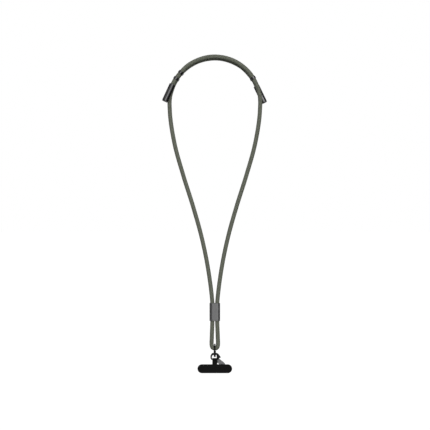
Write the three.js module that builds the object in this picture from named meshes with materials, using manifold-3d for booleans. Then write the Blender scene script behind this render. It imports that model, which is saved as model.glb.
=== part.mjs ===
// A charging cable worn as a lanyard: one braided cable in a long loop, its two ends overlapped
// behind the neck, a slider sleeve, and a swivel clasp that carries a flat tab.
// Millimetres. X is right, Y is away from the viewer and Z is up. The origin is under the top of
// the arc, where the wearer's neck carries the loop.
import * as THREE from 'three';
import { mergeVertices } from 'three/addons/utils/BufferGeometryUtils.js';
import Module from 'manifold-3d';

const wasm = await Module();
wasm.setup();

// Gap between two pieces that touch in the real thing.
const seatGap = 0.3;
// How far a cut runs past the face that it opens.
const overcut = 1;

// Braided cable.
const cableDiameter = 7.4;
const cableSides = 12;
const arcSteps = 22;
const armSteps = 13;
const legSteps = 3;
const bightSteps = 8;

// Metal sleeve on each cable end, with a black stopper in its outer end.
const sleeveDiameter = 10.6;
const sleeveLength = 31.5;
const sleeveLip = 0.5;
const stopperNeckDiameter = 6.4;
const stopperNeckLength = 4;
const stopperFlangeDiameter = 10;
const stopperFlangeThickness = 1;
const stopperEdge = 0.4;

// Bands that keep the two strands of the arc together, at these degrees to the right of its top.
const bandLength = 4.5;
const bandWall = 0.8;
const bandAngles = { left_lower: -58.3, left_upper: -48.5, right: 57.6 };

// Slider sleeve over both strands.
const sliderLength = 31;
const sliderWall = 0.8;
const sliderRoom = 0.4;

// Swivel ring round the cable's bight, with a collar and a riveted post below it. Its centre is
// lifted above the cable's.
const ringRadius = 6.6;
const ringLift = 0.6;
const ringWire = 2.5;
const collarRadius = 2.1;
const collarHeight = 3.35;
const collarDrop = 0.1;
const postRadius = 1.1;
const rivetRadius = 1.8;
const rivetThickness = 3;

// Clasp body: an arch of this outer radius with a round bar across its foot.
const claspRadius = 7.7;
const claspThickness = 3.2;
const claspTopCut = 0.9;
const claspBossDepth = 3.7;
const claspInsideHalfWidth = 4.9;
const claspInsideCorner = 3;
const claspBarRadius = 1.1;
const claspBarDrop = 4.3;
const barInset = 1;

// Sprung lever on the back of the clasp: a hub, an arm, a gate, a thumb nub and a broad tongue.
// The pivot is given from the clasp's centre, and the gate and the nub from the pivot.
const leverPivotX = 4.8;
const leverPivotRise = 3.75;
const leverThickness = 1.4;
const leverHubRadius = 1.9;
const leverPinRadius = 0.8;
const leverPinHeadRadius = 1.4;
const leverPinHeadThickness = 0.6;
const leverArmX = 5.4;
const leverArmWidth = 4;
const leverArmLength = 10.2;
const gateWidth = 2.4;
const gateTop = 2.5;
const gateReach = 5.5;
const nubReach = 5.5;
const nubDrop = 4.4;
const nubTipHeight = 0.9;
const nubFootDrop = 6.6;
const armSlope = 54;
const tongueWidth = 7.6;
const tongueLength = 11.1;
const tongueSlope = 38.9;

// Flat tab: a bar with round ends, and a neck that ends in an eye round the clasp's bar.
const tabLength = 60;
const tabHeight = 15.3;
const tabThickness = 2;
const tabNeckWidth = 8.7;
const tabEyeWall = 0.8;
const tabDrop = 8.75;

const cableRadius = cableDiameter / 2;
const boreRadius = cableRadius + seatGap;

// Route of the cable's centreline, from the end in the left sleeve over the arc in front, down the
// right arm, round the bight, up the left arm and over the arc behind to the right sleeve. Points
// that other pieces are placed by have a name.
const routePoints = [
  [-77.3, -5.5, -51.4, 'leftEnd'],
  [-73.1, -5.5, -42.3, 'leftSleeveMouth'],
  [-66.7, -4.5, -31.3],
  [-43.8, -4.0, -7.5],
  [-8.2, -3.9, 5.5],
  [29.4, -3.9, 0.2],
  [60.1, -3.9, -22.1],
  [76.7, -3.9, -56.2],
  [78.0, -3.7, -90, 'rightArmTop'],
  [69.8, -3.0, -145],
  [54.6, -2.4, -200],
  [37.3, -1.8, -255],
  [22.1, -1.1, -310],
  [11.1, -0.5, -365],
  [4.3, 0, -421, 'sliderRightTop'],
  [4.2, 0, -452, 'sliderRightBottom'],
  [5.1, 0, -478],
  [5.3, 0, -494.5, 'bightRight'],
  [3.75, 0, -498.25],
  [0, 0, -499.8, 'bightBottom'],
  [-3.75, 0, -498.25],
  [-5.3, 0, -494.5, 'bightLeft'],
  [-5.1, 0, -478],
  [-4.2, 0, -452, 'sliderLeftBottom'],
  [-4.3, 0, -421, 'sliderLeftTop'],
  [-11.1, 0.5, -365],
  [-22.1, 1.1, -310],
  [-37.3, 1.8, -255],
  [-54.6, 2.4, -200],
  [-69.8, 3.0, -145],
  [-78.0, 3.7, -90, 'leftArmTop'],
  [-76.7, 3.9, -58.5],
  [-60.1, 3.9, -24.4],
  [-29.4, 3.9, -2.1],
  [8.2, 3.9, 3.2],
  [43.8, 4.0, -9.8],
  [66.7, 4.5, -33.6],
  [72.15, 5.5, -44.2, 'rightSleeveMouth'],
  [76.45, 5.5, -53.2, 'rightEnd'],
];

const route = new THREE.CatmullRomCurve3(
  routePoints.map(([x, y, z]) => new THREE.Vector3(x, y, z)),
  false,
  'centripetal',
);
const divisionsPerPoint = 60;
route.arcLengthDivisions = (routePoints.length - 1) * divisionsPerPoint;
const routeLengths = route.getLengths();
const routeLength = route.getLength();
const placeOf = (name) => routePoints.findIndex((point) => point.includes(name));
const strandAt = (name) => route.points[placeOf(name)].clone();
const lengthTo = (name) => routeLengths[placeOf(name) * divisionsPerPoint];

const materials = {
  cable: new THREE.MeshStandardMaterial({ color: 0x6b6d63, roughness: 0.9, metalness: 0 }),
  gunmetal: new THREE.MeshStandardMaterial({ color: 0x4a4a4c, roughness: 0.35, metalness: 1 }),
  slider: new THREE.MeshStandardMaterial({ color: 0x707072, roughness: 0.45, metalness: 1 }),
  steel: new THREE.MeshStandardMaterial({ color: 0x9a9a9c, roughness: 0.3, metalness: 1 }),
  black: new THREE.MeshStandardMaterial({ color: 0x181818, roughness: 0.6, metalness: 0 }),
};

const lanyard = new THREE.Group();

function add(parent, name, geometry, material) {
  const mesh = new THREE.Mesh(geometry, material);
  mesh.name = name;
  parent.add(mesh);
  return mesh;
}

// Closed mesh to manifold solid, and back.
function solid(geometry) {
  const bare = geometry.clone();
  bare.deleteAttribute('normal');
  bare.deleteAttribute('uv');
  const merged = mergeVertices(bare, 1e-4);
  return new wasm.Manifold(new wasm.Mesh({
    numProp: 3,
    vertProperties: new Float32Array(merged.attributes.position.array),
    triVerts: new Uint32Array(merged.index.array),
  }));
}

function geometryOf(body) {
  const mesh = body.getMesh();
  const geometry = new THREE.BufferGeometry();
  geometry.setAttribute('position', new THREE.BufferAttribute(mesh.vertProperties, 3));
  geometry.setIndex(new THREE.BufferAttribute(mesh.triVerts, 1));
  return geometry;
}

// Shape drawn in X and Z, with its thickness along Y from nearY to farY.
function plate(shape, nearY, farY) {
  const depth = farY - nearY;
  const geometry = new THREE.ExtrudeGeometry(shape, { depth, bevelEnabled: false, curveSegments: 10 });
  geometry.rotateX(Math.PI / 2);
  geometry.translate(0, farY, 0);
  return geometry;
}

// Round bar along X, Y or Z through the point at, between two levels on that axis.
function roundBar(axis, radius, from, to, at = new THREE.Vector3()) {
  const geometry = new THREE.CylinderGeometry(radius, radius, to - from, 20);
  geometry.translate(0, (from + to) / 2, 0);
  if (axis === 'x') geometry.rotateZ(-Math.PI / 2);
  if (axis === 'z') geometry.rotateX(Math.PI / 2);
  return solid(geometry.translate(at.x, at.y, at.z));
}

// Block between two corners.
function block(low, high) {
  const geometry = new THREE.BoxGeometry(high[0] - low[0], high[1] - low[1], high[2] - low[2]);
  geometry.translate((low[0] + high[0]) / 2, (low[1] + high[1]) / 2, (low[2] + high[2]) / 2);
  return solid(geometry);
}

// Rounded rectangle about the origin. With half its height as the corner it is a stadium.
function roundedRectangle(path, halfWidth, halfHeight, corner) {
  const x = halfWidth - corner;
  const y = halfHeight - corner;
  path.moveTo(halfWidth, -y);
  path.absarc(x, y, corner, 0, Math.PI / 2);
  path.absarc(-x, y, corner, Math.PI / 2, Math.PI);
  path.absarc(-x, -y, corner, Math.PI, 1.5 * Math.PI);
  path.absarc(x, -y, corner, 1.5 * Math.PI, 2 * Math.PI);
  return path;
}

// Tube along Z about the origin, between two rounded rectangles.
function flatTube(inside, outside, length) {
  const section = roundedRectangle(new THREE.Shape(), ...outside);
  section.holes.push(roundedRectangle(new THREE.Path(), ...inside));
  const geometry = new THREE.ExtrudeGeometry(section, {
    depth: length,
    bevelEnabled: false,
    curveSegments: 4,
  });
  return geometry.translate(0, 0, -length / 2);
}

// Part of the cable's route between two lengths along it.
class Stretch extends THREE.Curve {
  constructor(from, to) {
    super();
    this.from = from / routeLength;
    this.to = to / routeLength;
  }

  getPoint(t, target) {
    return route.getPointAt(THREE.MathUtils.lerp(this.from, this.to, t), target);
  }
}

// The cable is one length. Its solids meet below the arc, inside the slider and beside the bight.
const cuts = [
  ['cable_front_arc', arcSteps, lengthTo('rightArmTop')],
  ['cable_right_arm', armSteps, (lengthTo('sliderRightTop') + lengthTo('sliderRightBottom')) / 2],
  ['cable_right_leg', legSteps, lengthTo('bightRight')],
  ['cable_bight', bightSteps, lengthTo('bightLeft')],
  ['cable_left_leg', legSteps, (lengthTo('sliderLeftBottom') + lengthTo('sliderLeftTop')) / 2],
  ['cable_left_arm', armSteps, lengthTo('leftArmTop')],
  ['cable_back_arc', arcSteps, routeLength],
];
const cableSection = new THREE.Shape();
cableSection.absarc(0, 0, cableRadius, 0, 2 * Math.PI);
let cutFrom = 0;
for (const [name, steps, cutTo] of cuts) {
  const end = cutTo === routeLength ? cutTo : cutTo - seatGap;
  const geometry = new THREE.ExtrudeGeometry(cableSection, {
    steps,
    curveSegments: cableSides / 2,
    extrudePath: new Stretch(cutFrom, end),
  });
  add(lanyard, name, geometry, materials.cable);
  cutFrom = cutTo;
}

// Solid turned about Z from a closed profile of radius and height.
function turned(profile) {
  const geometry = new THREE.LatheGeometry(profile.map(([r, z]) => new THREE.Vector2(r, z)), 28);
  return geometry.rotateX(Math.PI / 2);
}

// Sleeve with its mouth at the origin and its body below it, and the stopper in its lower end.
function addEndSleeve(side, mouthPlace, endPlace) {
  const mouth = strandAt(mouthPlace);
  const cableEnd = strandAt(endPlace);
  const boreDepth = mouth.distanceTo(cableEnd) + seatGap;
  const outer = sleeveDiameter / 2;
  const neckRadius = stopperNeckDiameter / 2;
  const socketTop = -sleeveLength + stopperNeckLength;
  const sleeve = turned([
    [0, socketTop],
    [neckRadius + seatGap, socketTop],
    [neckRadius + seatGap, -sleeveLength],
    [outer - sleeveLip, -sleeveLength],
    [outer, -sleeveLength + sleeveLip],
    [outer, -sleeveLip],
    [outer - sleeveLip, 0],
    [boreRadius, 0],
    [boreRadius, -boreDepth],
    [0, -boreDepth],
  ]);
  const flangeTop = -sleeveLength - seatGap;
  const flangeBottom = flangeTop - stopperFlangeThickness;
  const flangeRadius = stopperFlangeDiameter / 2;
  const stopper = turned([
    [0, flangeBottom],
    [flangeRadius - stopperEdge, flangeBottom],
    [flangeRadius, flangeBottom + stopperEdge],
    [flangeRadius, flangeTop],
    [neckRadius, flangeTop],
    [neckRadius, socketTop - seatGap],
    [0, socketTop - seatGap],
  ]);
  const group = new THREE.Group();
  const up = mouth.clone().sub(cableEnd).normalize();
  group.position.copy(mouth);
  group.quaternion.setFromUnitVectors(new THREE.Vector3(0, 0, 1), up);
  add(group, `${side}_end_sleeve`, sleeve, materials.gunmetal);
  add(group, `${side}_end_stopper`, stopper, materials.black);
  lanyard.add(group);
}
addEndSleeve('left', 'leftSleeveMouth', 'leftEnd');
addEndSleeve('right', 'rightSleeveMouth', 'rightEnd');

// Point and direction of a strand of the arc at an angle round it, which rises along both strands.
const arcCentre = new THREE.Vector3(0, 0, -73.65);
function arcCrossing(strand, degrees) {
  let near = 0;
  let far = 1;
  for (let halving = 0; halving < 40; halving += 1) {
    const middle = (near + far) / 2;
    const offset = strand.getPoint(middle).sub(arcCentre);
    const angle = THREE.MathUtils.radToDeg(Math.atan2(offset.x, offset.z));
    if (angle < degrees) near = middle;
    else far = middle;
  }
  return { point: strand.getPoint(near), direction: strand.getTangent(near) };
}

// Each band is a flat tube round both strands.
const frontArc = new Stretch(0, lengthTo('rightArmTop'));
const backArc = new Stretch(lengthTo('leftArmTop'), routeLength);
for (const [place, degrees] of Object.entries(bandAngles)) {
  const front = arcCrossing(frontArc, degrees);
  const back = arcCrossing(backArc, degrees);
  const across = back.point.clone().sub(front.point);
  const halfSpan = across.length() / 2;
  across.normalize();
  const along = front.direction.clone().add(back.direction).projectOnPlane(across).normalize();
  const outerRadius = boreRadius + bandWall;
  const geometry = flatTube(
    [halfSpan + boreRadius, boreRadius, boreRadius],
    [halfSpan + outerRadius, outerRadius, outerRadius],
    bandLength,
  );
  const band = add(lanyard, `keeper_band_${place}`, geometry, materials.gunmetal);
  band.position.addVectors(front.point, back.point).multiplyScalar(0.5);
  const beside = new THREE.Vector3().crossVectors(along, across);
  band.setRotationFromMatrix(new THREE.Matrix4().makeBasis(across, beside, along));
}

// The slider is a flattened tube that both strands pass through.
const sliderTop = strandAt('sliderRightTop');
const sliderBottom = strandAt('sliderRightBottom');
const sliderInside = cableRadius + sliderRoom;
const sliderOutside = sliderInside + sliderWall;
const sliderHalfSpan = Math.max(sliderTop.x, sliderBottom.x);
const sliderTube = flatTube(
  [sliderHalfSpan + sliderInside, sliderInside, sliderInside],
  [sliderHalfSpan + sliderOutside, sliderOutside, sliderOutside],
  sliderLength,
);
const slider = add(lanyard, 'slider_sleeve', sliderTube, materials.slider);
slider.position.z = (sliderTop.z + sliderBottom.z) / 2;

// Everything below is drawn about the ring's centre.
const hardware = new THREE.Group();
hardware.position.copy(strandAt('bightBottom'));
hardware.position.z += ringLift;
lanyard.add(hardware);

const collarBottom = -ringRadius - ringWire / 2 - collarDrop;
const claspTop = collarBottom - seatGap;
const claspInsideTop = claspTop - claspBossDepth;
const rivetTop = claspInsideTop - seatGap;
const ring = new THREE.TorusGeometry(ringRadius, ringWire / 2, 10, 28);
ring.rotateY(Math.PI / 2);
const swivel = solid(ring)
  .add(roundBar('z', collarRadius, collarBottom, collarBottom + collarHeight))
  .add(roundBar('z', postRadius, rivetTop - rivetThickness / 2, -ringRadius))
  .add(roundBar('z', rivetRadius, rivetTop - rivetThickness, rivetTop));
add(hardware, 'swivel_ring', geometryOf(swivel), materials.gunmetal);

// Outline of the clasp body: round shoulders and sides, with a straight top and foot.
const claspCentre = claspTop + claspTopCut - claspRadius;
const claspBack = claspThickness / 2;
const barLevel = claspCentre - claspBarDrop;
const footLevel = barLevel - claspBarRadius;
const footTop = barLevel + claspBarRadius;
const footInside = tabNeckWidth / 2 + seatGap;
const barEnd = footInside + barInset;
const topAngle = Math.asin((claspTop - claspCentre) / claspRadius);
const footAngle = Math.asin((footLevel - claspCentre) / claspRadius);
const outline = new THREE.Shape();
outline.absarc(0, claspCentre, claspRadius, footAngle, topAngle);
outline.absarc(0, claspCentre, claspRadius, Math.PI - topAngle, Math.PI - footAngle);

// Its opening, whose foot is as wide as the tab's eye, and the gap that the lever's gate closes.
const opening = new THREE.Shape();
const cornerX = claspInsideHalfWidth - claspInsideCorner;
const cornerZ = claspInsideTop - claspInsideCorner;
opening.moveTo(footInside, footLevel - overcut);
opening.lineTo(footInside, footTop);
opening.lineTo(claspInsideHalfWidth, footTop);
opening.absarc(cornerX, cornerZ, claspInsideCorner, 0, Math.PI / 2);
opening.absarc(-cornerX, cornerZ, claspInsideCorner, Math.PI / 2, Math.PI);
opening.lineTo(-claspInsideHalfWidth, footTop);
opening.lineTo(-footInside, footTop);
opening.lineTo(-footInside, footLevel - overcut);

// The lever lies behind the body and the tab's eye, on a pin fixed in the body's shoulder.
const eyeBore = claspBarRadius + seatGap;
const eyeRadius = eyeBore + tabEyeWall;
const leverNear = Math.max(claspBack, eyeRadius) + seatGap;
const leverFar = leverNear + leverThickness;
const pinHeadNear = leverFar + seatGap;
const pivot = new THREE.Vector3(leverPivotX, 0, claspCentre + leverPivotRise);
const gateUpper = pivot.z - gateTop;
const gateLower = pivot.z - gateReach;
const gateRight = claspInsideHalfWidth + gateWidth;
const mouth = block(
  [claspInsideHalfWidth - seatGap, -claspThickness, gateLower - seatGap],
  [claspRadius + overcut, claspThickness, gateUpper + seatGap],
).intersect(roundBar('y', gateReach + seatGap, -claspThickness, claspThickness, pivot));
const clasp = solid(plate(outline, -claspBack, claspBack))
  .subtract(solid(plate(opening, -claspThickness, claspThickness)))
  .subtract(mouth)
  .add(roundBar('x', claspBarRadius, -barEnd, barEnd, new THREE.Vector3(0, 0, barLevel)))
  .add(roundBar('y', leverHubRadius, 0, leverNear - seatGap, pivot))
  .add(roundBar('y', leverPinRadius, 0, pinHeadNear + leverPinHeadThickness / 2, pivot))
  .add(roundBar('y', leverPinHeadRadius, pinHeadNear, pinHeadNear + leverPinHeadThickness, pivot))
  .subtract(roundBar('z', postRadius + seatGap, claspInsideTop - overcut, claspTop + overcut));
add(hardware, 'clasp_body', geometryOf(clasp), materials.gunmetal);

// Lever: the gate's foot is round about the pivot, and the tongue slopes down to the right.
const armLeft = leverArmX - leverArmWidth / 2;
const armRight = leverArmX + leverArmWidth / 2;
const armFoot = pivot.z - leverArmLength;
const armTurn = THREE.MathUtils.degToRad(armSlope);
const arm = new THREE.Shape();
arm.moveTo(pivot.x - leverHubRadius, pivot.z);
arm.lineTo(armLeft, armFoot);
arm.lineTo(armRight, armFoot);
arm.lineTo(armRight, pivot.z - nubFootDrop);
arm.lineTo(pivot.x + nubReach, pivot.z - nubDrop - nubTipHeight);
arm.lineTo(pivot.x + nubReach, pivot.z - nubDrop);
arm.lineTo(
  pivot.x + leverHubRadius * Math.sin(armTurn),
  pivot.z + leverHubRadius * Math.cos(armTurn),
);
const tongueRadius = tongueWidth / 2;
const tongue = roundedRectangle(
  new THREE.Shape(), tongueLength / 2 + tongueRadius, tongueRadius, tongueRadius,
);
const tonguePlate = plate(tongue, leverNear, leverFar)
  .translate(tongueLength / 2, 0, 0)
  .rotateY(THREE.MathUtils.degToRad(tongueSlope))
  .translate(leverArmX, 0, armFoot);
const gate = block([claspInsideHalfWidth, -claspBack, gateLower], [gateRight, leverFar, gateUpper])
  .intersect(roundBar('y', gateReach, -claspThickness, leverFar, pivot));
const lever = roundBar('y', leverHubRadius, leverNear, leverFar, pivot)
  .add(solid(plate(arm, leverNear, leverFar)))
  .add(solid(tonguePlate))
  .add(gate)
  .subtract(roundBar('y', leverPinRadius + seatGap, leverNear - overcut, leverFar + overcut, pivot));
add(hardware, 'clasp_lever', geometryOf(lever), materials.steel);

// Tab.
const tabTop = barLevel - tabDrop;
const tabCentre = tabTop - tabHeight / 2;
const tabBar = roundedRectangle(new THREE.Shape(), tabLength / 2, tabHeight / 2, tabHeight / 2);
const tab = solid(plate(tabBar, -tabThickness / 2, tabThickness / 2).translate(0, 0, tabCentre))
  .add(block(
    [-tabNeckWidth / 2, -tabThickness / 2, tabCentre],
    [tabNeckWidth / 2, tabThickness / 2, barLevel],
  ))
  .add(roundBar('x', eyeRadius, -tabNeckWidth / 2, tabNeckWidth / 2, new THREE.Vector3(0, 0, barLevel)))
  .subtract(roundBar('x', eyeBore, -tabNeckWidth, tabNeckWidth, new THREE.Vector3(0, 0, barLevel)));
add(hardware, 'phone_tab', geometryOf(tab), materials.black);

export default lanyard;
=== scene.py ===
"""A charging cable worn as a lanyard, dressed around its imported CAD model."""
import math

import bmesh
import bpy
import numpy as np
from mathutils import Matrix, Vector


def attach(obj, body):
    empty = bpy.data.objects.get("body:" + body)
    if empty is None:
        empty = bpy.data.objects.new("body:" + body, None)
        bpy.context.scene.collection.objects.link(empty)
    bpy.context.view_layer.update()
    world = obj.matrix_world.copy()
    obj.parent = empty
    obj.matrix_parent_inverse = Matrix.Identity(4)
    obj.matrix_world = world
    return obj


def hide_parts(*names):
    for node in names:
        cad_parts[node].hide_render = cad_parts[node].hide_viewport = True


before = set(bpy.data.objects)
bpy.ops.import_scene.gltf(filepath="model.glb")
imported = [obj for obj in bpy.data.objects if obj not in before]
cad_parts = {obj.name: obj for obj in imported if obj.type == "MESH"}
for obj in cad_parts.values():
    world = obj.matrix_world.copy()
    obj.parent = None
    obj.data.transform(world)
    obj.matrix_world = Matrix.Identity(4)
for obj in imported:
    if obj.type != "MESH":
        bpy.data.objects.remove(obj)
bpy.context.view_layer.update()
scene = bpy.context.scene
scene.view_settings.view_transform = "Standard"

# Camera. It looks at the lanyard square on and from far away, as a catalogue picture does.
# The view is 745.6 mm wide at the lanyard.
view_width = 0.7456
view_centre = (0.00035, -0.2684)
camera_distance = 2.5
camera_data = bpy.data.cameras.new("camera")
camera_data.lens = camera_data.sensor_width * camera_distance / view_width
camera = bpy.data.objects.new("camera", camera_data)
camera.location = (view_centre[0], -camera_distance, view_centre[1])
camera.rotation_euler = (math.pi / 2, 0, 0)
scene.collection.objects.link(camera)
scene.camera = camera


# Braided cable. One round cable of olive polyester braid over its wires. It is a single length
# from the left sleeve to the right one, and passes over itself only behind the neck, where
# three bands hold the strands.
cable_diameter = 0.0074
cable_route = [
    (-0.0773, -0.0055, -0.0514),
    (-0.0731, -0.0055, -0.0423),
    (-0.0667, -0.0045, -0.0313),
    (-0.0438, -0.0040, -0.0075),
    (-0.0082, -0.0039, 0.0055),
    (0.0294, -0.0039, 0.0002),
    (0.0601, -0.0039, -0.0221),
    (0.0767, -0.0039, -0.0562),
    (0.0780, -0.0037, -0.0900),
    (0.0698, -0.0030, -0.1450),
    (0.0546, -0.0024, -0.2000),
    (0.0373, -0.0018, -0.2550),
    (0.0221, -0.0011, -0.3100),
    (0.0111, -0.0005, -0.3650),
    (0.0043, 0.0, -0.4210),
    (0.0042, 0.0, -0.4520),
    (0.0051, 0.0, -0.4780),
    (0.0053, 0.0, -0.4945),
    (0.00375, 0.0, -0.49825),
    (0.0, 0.0, -0.4998),
    (-0.00375, 0.0, -0.49825),
    (-0.0053, 0.0, -0.4945),
    (-0.0051, 0.0, -0.4780),
    (-0.0042, 0.0, -0.4520),
    (-0.0043, 0.0, -0.4210),
    (-0.0111, 0.0005, -0.3650),
    (-0.0221, 0.0011, -0.3100),
    (-0.0373, 0.0018, -0.2550),
    (-0.0546, 0.0024, -0.2000),
    (-0.0698, 0.0030, -0.1450),
    (-0.0780, 0.0037, -0.0900),
    (-0.0767, 0.0039, -0.0585),
    (-0.0601, 0.0039, -0.0244),
    (-0.0294, 0.0039, -0.0021),
    (0.0082, 0.0039, 0.0032),
    (0.0438, 0.0040, -0.0098),
    (0.0667, 0.0045, -0.0336),
    (0.07215, 0.0055, -0.0442),
    (0.07645, 0.0055, -0.0532),
]
left_mouth, right_mouth = cable_route[1], cable_route[-2]
left_end, right_end = cable_route[0], cable_route[-1]
strands = 12
points_per_strand = 4
braid_rows = 510
braid_relief = 0.00013
braid_depth = 0.00018
threads_per_strand = 4
thread_depth = 0.12
cable_crease = 80
# Olive stops from dark to light. The dark end also gives the painted shade in the braid's grooves.
olive_stops = [
    (0.0, (0.046, 0.050, 0.039)),
    (0.45, (0.081, 0.087, 0.067)),
    (0.8, (0.099, 0.105, 0.083)),
    (1.0, (0.114, 0.120, 0.095)),
]


def smooth_route(points, per_span=60):
    """Centripetal Catmull-Rom curve through the points, as the CAD source draws it."""
    p = np.array(points, float)
    p = np.vstack([2 * p[0] - p[1], p, 2 * p[-1] - p[-2]])
    t = np.linspace(0, 1, per_span, endpoint=False)[:, None]
    parts = []
    for p0, p1, p2, p3 in zip(p, p[1:], p[2:], p[3:]):
        d0, d1, d2 = (np.linalg.norm(b - a) ** 0.5 for a, b in ((p0, p1), (p1, p2), (p2, p3)))
        out = ((p1 - p0) / d0 - (p2 - p0) / (d0 + d1) + (p2 - p1) / d1) * d1
        into = ((p2 - p1) / d1 - (p3 - p1) / (d1 + d2) + (p3 - p2) / d2) * d1
        square = -3 * p1 + 3 * p2 - 2 * out - into
        cube = 2 * p1 - 2 * p2 + out + into
        parts.append(p1 + t * (out + t * (square + t * cube)))
    return np.vstack([*parts, p[-2]])


def unit(vectors):
    """The same directions, each of length 1."""
    return vectors / np.linalg.norm(vectors, axis=-1, keepdims=True)


def mesh_object(name, vertices, faces, finish, place=None, crease=40):
    """Mesh object at a place. Edges that turn by more than crease degrees are shaded sharp."""
    mesh = bpy.data.meshes.new(name)
    mesh.from_pydata([tuple(v) for v in vertices], [], faces)
    mesh.shade_smooth()
    mesh.set_sharp_from_angle(angle=math.radians(crease))
    mesh.materials.append(finish)
    piece = bpy.data.objects.new(name, mesh)
    if place is not None:
        piece.matrix_world = place
    scene.collection.objects.link(piece)
    flats = piece.modifiers.new("flats", "WEIGHTED_NORMAL")
    flats.keep_sharp = True
    return piece


class Shade:
    """A socket among the nodes of a material or the world. Arithmetic on it adds Math nodes."""

    def __init__(self, tree, socket=None):
        self.tree = tree
        self.socket = socket

    def node(self, kind, settings=None, values=None, output=0):
        made = self.tree.nodes.new("ShaderNode" + kind)
        for name, value in (settings or {}).items():
            if name == "stops":
                ramp = made.color_ramp.elements
                while len(ramp) < len(value):
                    ramp.new(0.5)
                for stop, (position, colour) in zip(ramp, value):
                    stop.position = position
                    stop.color = (*colour, 1)
            else:
                setattr(made, name, value)
        for name, value in (values or {}).items():
            if isinstance(value, Shade):
                self.tree.links.new(value.socket, made.inputs[name])
            else:
                made.inputs[name].default_value = value
        return Shade(self.tree, made.outputs[output])

    def maths(self, operation, *values):
        return self.node("Math", {"operation": operation}, dict(enumerate(values)))

    def floor(self):
        return self.maths("FLOOR", self)

    def sine(self):
        return self.maths("SINE", self)

    def __add__(self, other):
        return self.maths("ADD", self, other)

    def __sub__(self, other):
        return self.maths("SUBTRACT", self, other)

    def __rsub__(self, other):
        return self.maths("SUBTRACT", other, self)

    def __mul__(self, other):
        return self.maths("MULTIPLY", self, other)

    def __mod__(self, other):
        return self.maths("FLOORED_MODULO", self, other)

    __radd__ = __add__
    __rmul__ = __mul__

    def eased(self, low, high):
        """0 below low and 1 above high, with a soft step between."""
        return self.node(
            "MapRange", {"interpolation_type": "SMOOTHSTEP"}, {0: self, 1: low, 2: high}
        )

    def mixed(self, first, second):
        """The first colour where this is 0, and the second where it is 1."""
        colours = {0: self, 6: first, 7: second}
        return self.node("Mix", {"data_type": "RGBA"}, colours, output=2)


def material(name, paint, **constants):
    """Material whose paint function gives the links of the shader's sockets."""
    made = bpy.data.materials.new(name)
    made.use_nodes = True
    tree = made.node_tree
    shader = tree.nodes["Principled BSDF"]
    for socket, value in constants.items():
        shader.inputs[socket.replace("_", " ")].default_value = value
    for socket, value in paint(Shade(tree)).items():
        tree.links.new(value.socket, shader.inputs[socket])
    return made


def braid_threads(shade):
    """Strands that run both ways round the cable, each of a few threads, over and under."""
    place = shade.node("UVMap", {"uv_map": "braid"})
    across = shade.node("SeparateXYZ", {}, {0: place}, output=0)
    along = shade.node("SeparateXYZ", {}, {0: place}, output=1)
    left, right = across + along, across - along
    left_whole, right_whole = left.floor(), right.floor()
    over = (left_whole + right_whole) % 2
    left_part, right_part = left - left_whole, right - right_whole
    strand = over * left_part + (1 - over) * right_part
    crest = (strand * math.pi).sine()
    cover = over * right_part + (1 - over) * left_part
    ends = (cover * math.pi).sine()
    thread = (strand * (math.tau * threads_per_strand)).sine()
    height = crest * ends + thread * thread_depth
    turn = shade.node("TexCoord", output=3)
    fibre = shade.node("TexNoise", {}, {"Vector": turn, "Scale": 2600.0, "Detail": 2.0})
    patch = shade.node("TexNoise", {}, {"Vector": turn, "Scale": 55.0, "Detail": 3.0})
    # Painted shade: the colour darkens where a strand dips under its neighbour. The fibre and patch
    # noise is the braid's own tone.
    groove_shade_and_tone = (crest * ends).eased(0.05, 0.8) * 0.62 + fibre * 0.22 + patch * 0.16
    colour = shade.node("ValToRGB", {"stops": olive_stops}, {0: groove_shade_and_tone})
    bump = shade.node(
        "Bump", {}, {"Strength": 0.7, "Distance": braid_depth, "Height": height + fibre * 0.25}
    )
    return {"Base Color": colour, "Roughness": 0.95 - crest * 0.2, "Normal": bump}


# Rings of points stand square to the route, and each strand of the braid has a crown where it
# passes over another.
dense = smooth_route(cable_route)
reach = np.concatenate([[0], np.cumsum(np.linalg.norm(np.diff(dense, axis=0), axis=1))])
cable_length = reach[-1]
rows = braid_rows * points_per_strand
sides = strands * points_per_strand
stations = np.linspace(0, cable_length, rows + 1)
centre = np.stack([np.interp(stations, reach, dense[:, k]) for k in range(3)], axis=1)
tangent = unit(np.gradient(centre, axis=0))
inward = unit(np.array([0, 1.0, 0]) - tangent * tangent[:, 1:2])
sideways = np.cross(tangent, inward)
angle = np.arange(sides) / sides * math.tau
across = np.arange(sides) / points_per_strand
along = (np.arange(rows + 1) / points_per_strand)[:, None]
crowns = np.abs(np.sin(math.pi * (across + along)) * np.sin(math.pi * (across - along)))
radius = cable_diameter / 2 - braid_relief * (1 - crowns)
ring_direction = (
    np.cos(angle)[None, :, None] * inward[:, None] + np.sin(angle)[None, :, None] * sideways[:, None]
)
tube = (centre[:, None] + radius[:, :, None] * ring_direction).reshape(-1, 3)
row, side = np.meshgrid(np.arange(rows), np.arange(sides), indexing="ij")
after = (side + 1) % sides
quads = np.stack(
    [row * sides + side, row * sides + after, (row + 1) * sides + after, (row + 1) * sides + side],
    axis=-1,
).reshape(-1, 4)
caps = [tuple(reversed(range(sides))), tuple(range(rows * sides, (rows + 1) * sides))]
braid = material("olive_braid", braid_threads, Specular_IOR_Level=0.2)
cable = mesh_object(
    "braided_cable", tube, [*map(tuple, quads.tolist()), *caps], braid, crease=cable_crease,
)
weave_place = np.zeros((len(cable.data.loops), 2), np.float32)
corner_across = np.stack([side, side + 1, side + 1, side], axis=-1).reshape(-1)
corner_along = np.stack([row, row, row + 1, row + 1], axis=-1).reshape(-1)
weave_place[: len(corner_across), 0] = corner_across / points_per_strand
weave_place[: len(corner_along), 1] = corner_along / points_per_strand
cable.data.uv_layers.new(name="braid").data.foreach_set("uv", weave_place.ravel())
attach(cable, "root")
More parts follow.
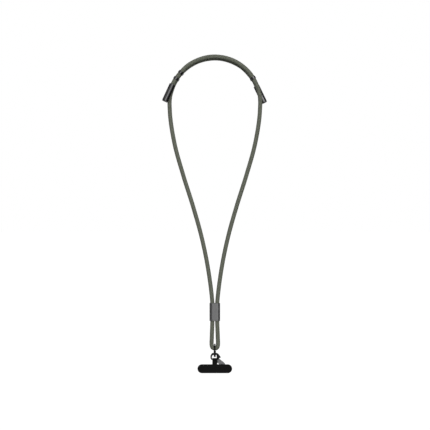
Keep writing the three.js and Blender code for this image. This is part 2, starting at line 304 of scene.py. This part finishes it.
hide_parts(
    "cable_front_arc", "cable_right_arm", "cable_right_leg", "cable_bight",
    "cable_left_leg", "cable_left_arm", "cable_back_arc",
)


# End sleeves. Drawn metal sleeves, plated in gunmetal, pushed over the two cable ends. They hide
# the connectors, and their mouths have a rolled lip where the braid goes in.
sleeve_diameter = 0.0106
sleeve_length = 0.0315
sleeve_lip = 0.0005
sleeve_mouth_edge = 0.0004
socket_edge = 0.0002
seat_gap = 0.0003
sleeve_bore = cable_diameter / 2 + seat_gap
stopper_socket_depth = 0.004
stopper_neck_radius = 0.0032
gunmetal_dark = (0.030, 0.030, 0.0305, 1)
gunmetal_light = (0.058, 0.058, 0.059, 1)


def rounded(points, sizes, steps=5):
    """The points of an open line, with each inner corner replaced by an arc of its size."""
    line = [Vector(points[0])]
    for before, corner, following, size in zip(points, points[1:], points[2:], sizes):
        corner = Vector(corner)
        back, ahead = Vector(before) - corner, Vector(following) - corner
        if size == 0:
            line.append(corner)
            continue
        cut = min(size, 0.49 * back.length, 0.49 * ahead.length)
        start, end = corner + back.normalized() * cut, corner + ahead.normalized() * cut
        for k in range(steps + 1):
            t = k / steps
            line.append(start * (1 - t) ** 2 + corner * (2 * t * (1 - t)) + end * t**2)
    line.append(Vector(points[-1]))
    return line


def turned(name, profile, finish, place, turns=96):
    """Solid turned about Z from a line of radius and height that starts and ends on the axis."""
    mesh = bmesh.new()
    line = [mesh.verts.new((r, 0, z)) for r, z in profile]
    edges = [mesh.edges.new(pair) for pair in zip(line, line[1:])]
    bmesh.ops.spin(
        mesh, geom=line + edges, axis=(0, 0, 1), cent=(0, 0, 0), angle=math.tau,
        steps=turns, use_merge=True,
    )
    bmesh.ops.remove_doubles(mesh, verts=mesh.verts, dist=1e-7)
    bmesh.ops.recalc_face_normals(mesh, faces=mesh.faces)
    vertices = [v.co.copy() for v in mesh.verts]
    faces = [tuple(v.index for v in face.verts) for face in mesh.faces]
    mesh.free()
    return mesh_object(name, vertices, faces, finish, place)


def drawn_gunmetal(shade):
    """Dark plating with fine draw lines along the tube, and faint smudges in its gloss."""
    turn = shade.node("TexCoord", output=3)
    long = shade.node("VectorMath", {"operation": "MULTIPLY"}, {0: turn, 1: (1.0, 1.0, 0.02)})
    lines = shade.node("TexNoise", {}, {"Vector": long, "Scale": 9000.0, "Detail": 2.0})
    smudge = shade.node("TexNoise", {}, {"Vector": turn, "Scale": 160.0, "Detail": 4.0})
    colour = (lines * 0.5 + smudge * 0.5).mixed(gunmetal_dark, gunmetal_light)
    bump = shade.node("Bump", {}, {"Strength": 0.35, "Distance": 0.00002, "Height": lines})
    return {
        "Base Color": colour,
        "Roughness": 0.15 + smudge.eased(0.35, 0.7) * 0.1 + lines * 0.05,
        "Normal": bump,
    }


def along_line(top, bottom):
    """Place with its origin at top and its Z axis along the line from bottom."""
    up = (Vector(top) - Vector(bottom)).normalized()
    right = Vector((0, 1, 0)).cross(up).normalized()
    axes = Matrix((right, up.cross(right), up)).transposed().to_4x4()
    return Matrix.Translation(Vector(top)) @ axes


gunmetal = material(
    "drawn_gunmetal", drawn_gunmetal, Metallic=1.0, Specular_Tint=(0.4, 0.4, 0.4, 1),
)
outer = sleeve_diameter / 2
socket_top = stopper_socket_depth - sleeve_length
cable_depth = (Vector(left_mouth) - Vector(left_end)).length + seat_gap
sleeve_points = [
    (0, socket_top), (stopper_neck_radius + seat_gap, socket_top),
    (stopper_neck_radius + seat_gap, -sleeve_length), (outer, -sleeve_length), (outer, 0),
    (sleeve_bore, 0), (sleeve_bore, -cable_depth), (0, -cable_depth),
]
sleeve_edges = [0, socket_edge, sleeve_lip, sleeve_lip, sleeve_mouth_edge, 0]
sleeve_profile = rounded(sleeve_points, sleeve_edges)
sleeve_places = {
    "left": along_line(left_mouth, left_end),
    "right": along_line(right_mouth, right_end),
}
for hand, place in sleeve_places.items():
    sleeve = turned(hand + "_sleeve", sleeve_profile, gunmetal, place)
    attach(sleeve, "root")
    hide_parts(hand + "_end_sleeve")


# End stoppers. Black moulded plugs pressed into the outer ends of the sleeves, each with a neck
# and a thin flange.
stopper_flange_radius = 0.005
stopper_flange_thickness = 0.001
stopper_edges = [0.0004, 0.0001, 0, 0.0003]
moulding_dark = (0.006, 0.006, 0.006, 1)
moulding_light = (0.013, 0.013, 0.013, 1)


def moulded_black(shade):
    """Black plastic with the fine satin of a spark-eroded mould."""
    turn = shade.node("TexCoord", output=3)
    grain = shade.node("TexNoise", {}, {"Vector": turn, "Scale": 3500.0, "Detail": 2.0})
    wipe = shade.node("TexNoise", {}, {"Vector": turn, "Scale": 300.0, "Detail": 3.0})
    colour = wipe.mixed(moulding_dark, moulding_light)
    bump = shade.node("Bump", {}, {"Strength": 0.3, "Distance": 0.00003, "Height": grain})
    return {"Base Color": colour, "Roughness": 0.42 + grain * 0.16, "Normal": bump}


black = material("moulded_black", moulded_black, Specular_IOR_Level=0.2)
flange_top = -sleeve_length - seat_gap
flange_bottom = flange_top - stopper_flange_thickness
stopper_points = [
    (0, flange_bottom), (stopper_flange_radius, flange_bottom), (stopper_flange_radius, flange_top),
    (stopper_neck_radius, flange_top), (stopper_neck_radius, socket_top - seat_gap),
    (0, socket_top - seat_gap),
]
stopper_profile = rounded(stopper_points, stopper_edges)
for hand, place in sleeve_places.items():
    stopper = turned(hand + "_stopper", stopper_profile, black, place)
    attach(stopper, "root")
    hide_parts(hand + "_end_stopper")


# Keeper bands. Three flat bands of gunmetal round both strands of the arc. Each is a short oval
# tube with rolled edges, slid along to set how far the strands overlap.
band_length = 0.0045
band_wall = 0.0006
band_lip = 0.00027
band_room = 0.0002
band_degrees = {"left_lower": -58.3, "left_upper": -48.5, "right": 57.6}
arc_centre = (0.0, -0.07365)
outer_roll_steps = 6
inner_roll_steps = 3


def oval_ring(half_width, half_height, corner, height, per_corner=16):
    """Rounded rectangle in X and Y at a height."""
    x, y = half_width - corner, half_height - corner
    points = []
    for quarter, (cx, cy) in enumerate(((x, y), (-x, y), (-x, -y), (x, -y))):
        for k in range(per_corner + 1):
            turn = math.pi / 2 * (quarter + k / per_corner)
            points.append((cx + corner * math.cos(turn), cy + corner * math.sin(turn), height))
    return points


def oval_tube(name, inside, outside, length, lip, finish, place):
    """Tube between two rounded rectangles (half width, half height, corner), with rolled ends."""
    rings = []
    for outline, inward_roll, steps, ends in (
        (outside, lip, outer_roll_steps, (-1, 1)),
        (inside, -lip / 2, inner_roll_steps, (1, -1)),
    ):
        half_width, half_height, corner = outline
        for end in ends:
            for k in range(steps + 1):
                turn = math.pi / 2 * (k if end == ends[0] else steps - k) / steps
                pull = inward_roll * (1 - math.sin(turn))
                height = end * (length / 2 - abs(inward_roll) * (1 - math.cos(turn)))
                ring = oval_ring(half_width - pull, half_height - pull, corner - pull, height)
                rings.append(ring)
    count = len(rings[0])
    vertices = [point for ring in rings for point in ring]
    faces = []
    for level in range(len(rings)):
        here, there = level * count, (level + 1) % len(rings) * count
        for k in range(count):
            after = (k + 1) % count
            faces.append((here + k, here + after, there + after, there + k))
    return mesh_object(name, vertices, faces, finish, place)


def crossing(first, last, degrees):
    """Point and direction of a strand, between two rows of it, at an angle from the arc's top."""
    part = centre[first:last]
    turn = np.degrees(np.arctan2(part[:, 0] - arc_centre[0], part[:, 2] - arc_centre[1]))
    k = first + int(np.argmin(np.abs(turn - degrees)))
    return centre[k], tangent[k]


quarter = rows // 4
hole = cable_diameter / 2 + band_room
wall = hole + band_wall
for where, degrees in band_degrees.items():
    front, front_way = crossing(0, quarter, degrees)
    back, back_way = crossing(rows - quarter, rows, degrees)
    across_way = unit(back - front)
    way = front_way + back_way
    way = unit(way - across_way * (way @ across_way))
    beside = np.cross(way, across_way)
    half_span = np.linalg.norm(back - front) / 2
    axes = Matrix((across_way, beside, way)).transposed().to_4x4()
    band = oval_tube(
        "band_" + where, (half_span + hole, hole, hole),
        (half_span + wall, wall, wall), band_length, band_lip, gunmetal,
        Matrix.Translation(Vector((front + back) / 2)) @ axes,
    )
    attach(band, "root")
    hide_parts("keeper_band_" + where)


# Slider. A flattened metal tube with a satin plated finish. Both strands pass through it, and it
# slides up and down to set the size of the neck loop.
slider_length = 0.031
slider_wall = 0.0008
slider_lip = 0.00036
slider_room = 0.0004
slider_inside = cable_diameter / 2 + slider_room
slider_top, slider_bottom = cable_route[14:16]
satin_dark = (0.054, 0.054, 0.0545, 1)
satin_light = (0.091, 0.091, 0.0915, 1)


def satin_plating(shade):
    """Grey plating, brushed along the tube."""
    turn = shade.node("TexCoord", output=3)
    long = shade.node("VectorMath", {"operation": "MULTIPLY"}, {0: turn, 1: (1.0, 1.0, 0.015)})
    lines = shade.node("TexNoise", {}, {"Vector": long, "Scale": 7000.0, "Detail": 3.0})
    smudge = shade.node("TexNoise", {}, {"Vector": turn, "Scale": 120.0, "Detail": 4.0})
    colour = (lines * 0.6 + smudge * 0.4).mixed(satin_dark, satin_light)
    bump = shade.node("Bump", {}, {"Strength": 0.4, "Distance": 0.00002, "Height": lines})
    return {
        "Base Color": colour,
        "Roughness": 0.34 + lines * 0.08 + smudge.eased(0.4, 0.7) * 0.06,
        "Normal": bump,
    }


satin = material("satin_plating", satin_plating, Metallic=1.0)
slider_outside = slider_inside + slider_wall
slider_span = max(slider_top[0], slider_bottom[0])
slider = oval_tube(
    "slider_tube", (slider_span + slider_inside, slider_inside, slider_inside),
    (slider_span + slider_outside, slider_outside, slider_outside),
    slider_length, slider_lip, satin,
    Matrix.Translation((0, 0, (slider_top[2] + slider_bottom[2]) / 2)),
)
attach(slider, "root")
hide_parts("slider_sleeve")


# Swivel ring. A cast ring round the foot of the cable, with a collar and a riveted post that the
# clasp turns on. It is plated in gunmetal and polished.
casting_grain = 0.00014
casting_softening = 6
plating_dark = (0.0075, 0.0075, 0.008, 1)
plating_worn = (0.028, 0.028, 0.029, 1)


def cast(node, name, finish, body, grain=casting_grain, softening=casting_softening):
    """Cast piece of a node's shape, with its edges softened as in a mould."""
    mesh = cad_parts[node].data.copy()
    mesh.materials.clear()
    mesh.materials.append(finish)
    piece = bpy.data.objects.new(name, mesh)
    scene.collection.objects.link(piece)
    skin = piece.modifiers.new("skin", "REMESH")
    skin.mode = "VOXEL"
    skin.voxel_size = grain
    skin.use_smooth_shade = True
    soft = piece.modifiers.new("soft", "SMOOTH")
    soft.factor = 0.5
    soft.iterations = softening
    shown = piece.evaluated_get(bpy.context.evaluated_depsgraph_get())
    piece.data = bpy.data.meshes.new_from_object(shown)
    piece.modifiers.clear()
    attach(piece, body)
    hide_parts(node)


def polished_gunmetal(shade):
    """Glossy dark plating with hairline scratches and a little wear."""
    turn = shade.node("TexCoord", output=3)
    scratch = shade.node("TexNoise", {}, {"Vector": turn, "Scale": 4200.0, "Detail": 5.0})
    smudge = shade.node("TexNoise", {}, {"Vector": turn, "Scale": 260.0, "Detail": 4.0})
    worn = scratch.eased(0.55, 0.75) * smudge.eased(0.45, 0.65)
    colour = worn.mixed(plating_dark, plating_worn)
    bump = shade.node("Bump", {}, {"Strength": 0.25, "Distance": 0.00002, "Height": scratch})
    return {"Base Color": colour, "Roughness": 0.16 + worn * 0.2, "Normal": bump}


polished = material(
    "polished_gunmetal", polished_gunmetal, Metallic=1.0, Specular_Tint=(0.25, 0.25, 0.25, 1),
)
cast("swivel_ring", "swivel", polished, "swivel")


# Clasp body. A die-cast arch, polished like the ring, that turns on the rivet. It has a round bar
# across its foot for the tab's eye and a pin in its right shoulder for the lever.
cast("clasp_body", "clasp", polished, "clasp")


# Clasp lever. The sprung lever that opens the clasp, of plated steel: a hub on the pin, a gate, a
# thumb nub and a broad tongue, which carries a painted highlight of bright metal.
tongue_level = -0.5180
tongue_fade = 0.002
hub_dark = (0.005, 0.005, 0.0055, 1)
hub_light = (0.012, 0.012, 0.0125, 1)
# Colours of the painted highlight on the tongue, dim and full, mixed by the scratches.
tongue_painted_highlight_dim = (0.026, 0.026, 0.0265, 1)
tongue_painted_highlight_full = (0.140, 0.140, 0.142, 1)


def lever_with_painted_highlight(shade):
    """Dark plating by the hub, and a painted highlight of bright metal on the tongue below a set
    height.
    """
    turn = shade.node("TexCoord", output=3)
    height = shade.node("SeparateXYZ", {}, {0: turn}, output=2)
    scratch = shade.node("TexNoise", {}, {"Vector": turn, "Scale": 3200.0, "Detail": 5.0})
    smudge = shade.node("TexNoise", {}, {"Vector": turn, "Scale": 330.0, "Detail": 4.0})
    edge = height + (smudge - 0.5) * tongue_fade
    # Painted highlight: the tongue below tongue_level is coloured as bright metal catching the
    # light.
    painted_highlight = 1 - edge.eased(tongue_level - tongue_fade, tongue_level + tongue_fade)
    dark = scratch.mixed(hub_dark, hub_light)
    tongue_highlight_colour = scratch.mixed(tongue_painted_highlight_dim, tongue_painted_highlight_full)
    bump = shade.node("Bump", {}, {"Strength": 0.3, "Distance": 0.00002, "Height": scratch})
    return {
        "Base Color": painted_highlight.mixed(dark, tongue_highlight_colour),
        "Roughness": 0.22 + painted_highlight * 0.2 + smudge * 0.1,
        "Normal": bump,
    }


lever_steel = material(
    "lever_with_painted_highlight", lever_with_painted_highlight, Metallic=1.0, Specular_Tint=(0.4, 0.4, 0.4, 1),
)
cast("clasp_lever", "lever", lever_steel, "lever")


# Phone tab. A flat black strip, moulded with a rubbery coat, that lies inside a phone's case. Its
# neck comes out through the port's opening and ends in an eye round the clasp's bar.
tab_grain = 0.0002
tab_softening = 3
tab_dark = (0.0016, 0.0016, 0.0016, 1)
tab_light = (0.0036, 0.0036, 0.0036, 1)


def matt_tab(shade):
    """Black rubber-coated strip with a fine leather-like grain."""
    turn = shade.node("TexCoord", output=3)
    cells = shade.node("TexVoronoi", {}, {"Vector": turn, "Scale": 2200.0})
    grain = shade.node("TexNoise", {}, {"Vector": turn, "Scale": 1500.0, "Detail": 3.0})
    wipe = shade.node("TexNoise", {}, {"Vector": turn, "Scale": 90.0, "Detail": 4.0})
    colour = wipe.mixed(tab_dark, tab_light)
    height = cells + grain * 0.5
    bump = shade.node("Bump", {}, {"Strength": 0.45, "Distance": 0.00006, "Height": height})
    return {"Base Color": colour, "Roughness": 0.55 + wipe * 0.15, "Normal": bump}


tab_rubber = material("matt_tab", matt_tab, Specular_IOR_Level=0.05)
cast("phone_tab", "tab", tab_rubber, "tab", tab_grain, tab_softening)


# Floor and light. A plain white studio: a pale floor under the hanging lanyard, and a soft tent of
# light, brightest above the camera and behind, with darker sides that round off the metal.
floor_level = -0.66
floor_size = 60
floor_glow = 0.93
tent_side, tent_left, tent_top = 0.22, 0.45, 0.2
tent_front, tent_skirt, tent_back = 4.9, 0.5, 1.2
tent_way = (0.199, -0.935, 0.292)
white_light = (1, 1, 1, 1)
lamp_target = (0, 0, -0.25)

world = bpy.data.worlds.new("studio")
world.use_nodes = True
scene.world = world
world_tree = world.node_tree
world_tree.nodes.clear()
sky = Shade(world_tree)
direction = sky.node("TexCoord", output=0)
depth = sky.node("SeparateXYZ", {}, {0: direction}, output=1)
rise = sky.node("SeparateXYZ", {}, {0: direction}, output=2)
aside = sky.node("SeparateXYZ", {}, {0: direction}, output=0)
facing = sky.node("VectorMath", {"operation": "DOT_PRODUCT"}, {0: direction, 1: tent_way}, 1)
front_glow = facing.eased(0.85, 0.97) * tent_front + facing.eased(0.2, 0.85) * tent_skirt
back_glow = depth.eased(0.55, 0.95) * tent_back
side_glow = rise.eased(-0.9, 0.3) * tent_side + rise.eased(0.2, 1.0) * tent_top
left_glow = (0 - aside).eased(0.2, 0.8) * tent_left
tent = front_glow + back_glow + side_glow + left_glow
white = sky.node("Background", {}, {"Color": white_light, "Strength": 1.0})
soft = sky.node("Background", {}, {"Color": white_light, "Strength": tent})
seen = sky.node("LightPath", output=0)
studio = sky.node("MixShader", {}, {0: seen, 1: soft, 2: white})
out = world_tree.nodes.new("ShaderNodeOutputWorld")
world_tree.links.new(studio.socket, out.inputs[0])

half = floor_size / 2
floor_paint = material(
    "pale_floor", lambda shade: {}, Base_Color=(0.12, 0.12, 0.12, 1), Roughness=0.9,
    Specular_IOR_Level=0.0, Emission_Color=white_light, Emission_Strength=floor_glow,
)
floor = mesh_object(
    "floor",
    [(-half, -half, floor_level), (half, -half, floor_level), (half, half, floor_level),
     (-half, half, floor_level)],
    [(0, 1, 2, 3)],
    floor_paint,
)
floor.visible_diffuse = False
floor.visible_glossy = False

for name, place, size, power in (
    ("key", (1.15, -2.15, 0.4), (0.4, 1.4), 8),
    ("fill", (-1.8, -1.8, 0.4), (0.2, 1.4), 2.5),
    ("rim", (-1.2, 2.0, 0.6), (0.3, 1.4), 5),
):
    light = bpy.data.lights.new(name, "AREA")
    light.shape = "RECTANGLE"
    light.size, light.size_y = size
    light.energy = power
    lamp = bpy.data.objects.new(name, light)
    lamp.location = place
    aim = Vector(lamp_target) - Vector(place)
    lamp.rotation_euler = aim.to_track_quat("-Z", "Y").to_euler()
    scene.collection.objects.link(lamp)
